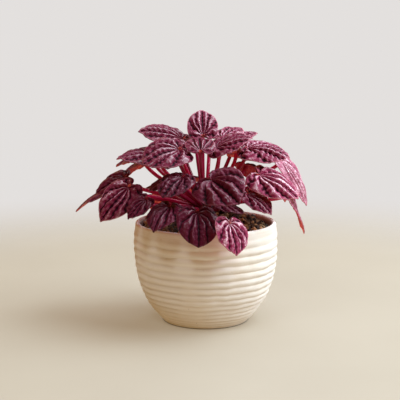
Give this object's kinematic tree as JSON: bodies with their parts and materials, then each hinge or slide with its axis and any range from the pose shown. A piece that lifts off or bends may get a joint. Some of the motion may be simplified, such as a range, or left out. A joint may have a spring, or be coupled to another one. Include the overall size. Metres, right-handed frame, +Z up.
{
  "type": "potted peperomia",
  "caption": "Red-leaved peperomia with heart-shaped, deeply corrugated blades on crimson stalks, growing from soil in a ribbed, rounded cream stoneware pot.",
  "frame": {"origin": "centre of the pot's flat foot, on the surface that it stands on", "axes": "+Z up along the pot's axis, -Y towards the front of the plant, +X to its right as seen from the front"},
  "size_m": [0.2291, 0.1877, 0.2026],
  "materials": {
    "stoneware": "matt cream stoneware with thrown ribs",
    "soil": "moist bark and peat potting mix",
    "stalk": "smooth crimson plant stem",
    "blade": "satin, corrugated red leaf"
  },
  "bodies": {
    "root": {"pot": "stoneware", "soil": "soil", "crown_with_stalks": "stalk", "leaf_blade_01": "blade", "leaf_blade_02": "blade", "leaf_blade_03": "blade", "leaf_blade_04": "blade", "leaf_blade_05": "blade", "leaf_blade_06": "blade", "leaf_blade_07": "blade", "leaf_blade_08": "blade", "leaf_blade_09": "blade", "leaf_blade_10": "blade", "leaf_blade_11": "blade", "leaf_blade_12": "blade", "leaf_blade_13": "blade", "leaf_blade_14": "blade", "leaf_blade_15": "blade", "leaf_blade_16": "blade", "leaf_blade_17": "blade", "leaf_blade_18": "blade", "leaf_blade_19": "blade", "leaf_blade_20": "blade", "leaf_blade_21": "blade", "leaf_blade_22": "blade", "leaf_blade_23": "blade", "leaf_blade_24": "blade", "leaf_blade_25": "blade", "leaf_blade_26": "blade", "leaf_blade_27": "blade", "leaf_blade_28": "blade", "leaf_blade_29": "blade", "leaf_blade_30": "blade", "leaf_blade_31": "blade", "leaf_blade_32": "blade", "leaf_blade_33": "blade", "leaf_blade_34": "blade", "leaf_blade_35": "blade", "leaf_blade_36": "blade", "leaf_blade_37": "blade", "leaf_blade_38": "blade", "leaf_blade_39": "blade", "leaf_blade_40": "blade"}
  },
  "joints": []
}
